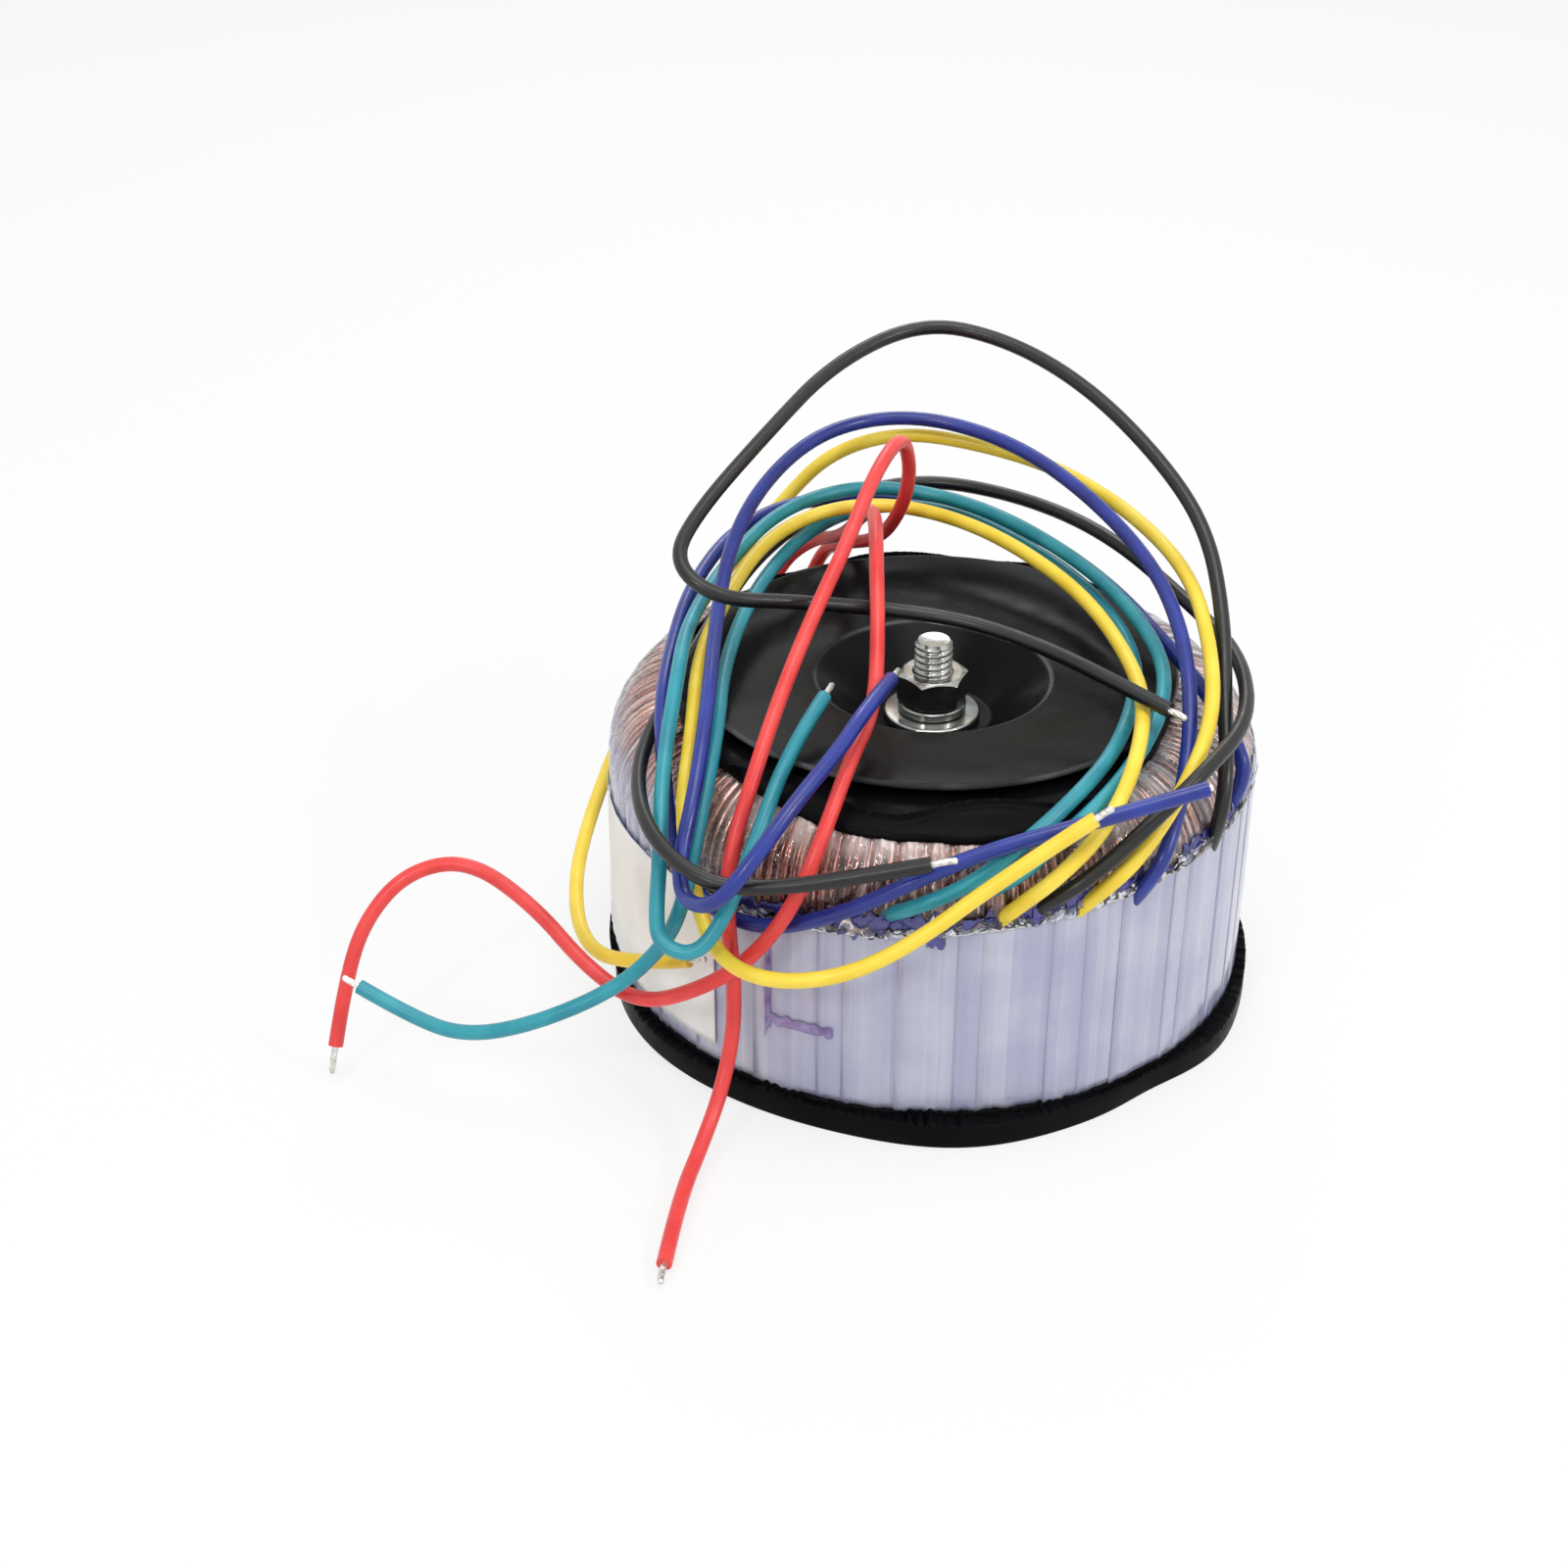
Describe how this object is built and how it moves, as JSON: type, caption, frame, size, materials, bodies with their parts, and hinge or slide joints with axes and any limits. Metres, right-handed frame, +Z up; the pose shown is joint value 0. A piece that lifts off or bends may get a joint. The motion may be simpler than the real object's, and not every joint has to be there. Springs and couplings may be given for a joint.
{
  "type": "toroidal transformer",
  "caption": "Toroidal mains transformer: wound ring clamped by a dished plate on a centre bolt, rubber pads, loose coloured leads with bare tinned ends.",
  "frame": {"origin": "on the bolt's axis, at the underside of the bottom rubber pad", "axes": "+Z up along the bolt towards the nut, -Y the side most leads leave from, +X to its right"},
  "size_m": [0.1888, 0.1853, 0.1229],
  "materials": {
    "core_steel": "grain-oriented strip wound into a ring, blue-grey",
    "white_polyester": "thin polyester tape, matte",
    "enamelled_copper": "enamelled copper wire, reddish, glossy",
    "clear_film": "thin clear polyester film, crinkled, glossy",
    "navy_tape": "dark blue film tape, glossy",
    "milky_tape": "overlapping strips of milky lavender film tape, glossy",
    "label_paper": "blank white label under the film's gloss",
    "black_rubber": "black rubber sheet, matte",
    "black_paint": "black coating, satin",
    "zinc_plate": "bright zinc plating",
    "tinned_copper": "tinned copper strands, soldered",
    "black_insulation": "black PVC, soft sheen",
    "blue_insulation": "dark blue PVC, soft sheen",
    "teal_insulation": "teal PVC, soft sheen",
    "yellow_insulation": "yellow PVC, soft sheen",
    "red_insulation": "red PVC, soft sheen"
  },
  "bodies": {
    "root": {"steel_core": "core_steel", "core_insulation": "white_polyester", "primary_winding": "enamelled_copper", "interwinding_insulation": "white_polyester", "secondary_winding": "enamelled_copper", "clear_film": "clear_film", "navy_tape": "navy_tape", "side_wrap": "milky_tape", "blank_label": "label_paper", "bottom_pad": "black_rubber", "top_pad": "black_rubber", "dished_plate": "black_paint", "flat_washer": "zinc_plate", "spring_washer": "zinc_plate", "hex_nut": "zinc_plate", "bottom_washer": "zinc_plate", "bolt": "zinc_plate", "black_lead_1": "black_insulation", "black_lead_1_tip": "tinned_copper", "black_lead_2": "black_insulation", "black_lead_2_tip": "tinned_copper", "blue_lead_1": "blue_insulation", "blue_lead_1_tip": "tinned_copper", "blue_lead_2": "blue_insulation", "blue_lead_2_tip": "tinned_copper", "teal_lead_1": "teal_insulation", "teal_lead_1_tip": "tinned_copper", "teal_lead_2": "teal_insulation", "teal_lead_2_tip": "tinned_copper", "yellow_lead_1": "yellow_insulation", "yellow_lead_1_tip": "tinned_copper", "yellow_lead_2": "yellow_insulation", "yellow_lead_2_tip": "tinned_copper", "red_lead_1": "red_insulation", "red_lead_1_tip": "tinned_copper", "red_lead_2": "red_insulation", "red_lead_2_tip": "tinned_copper"}
  },
  "joints": []
}
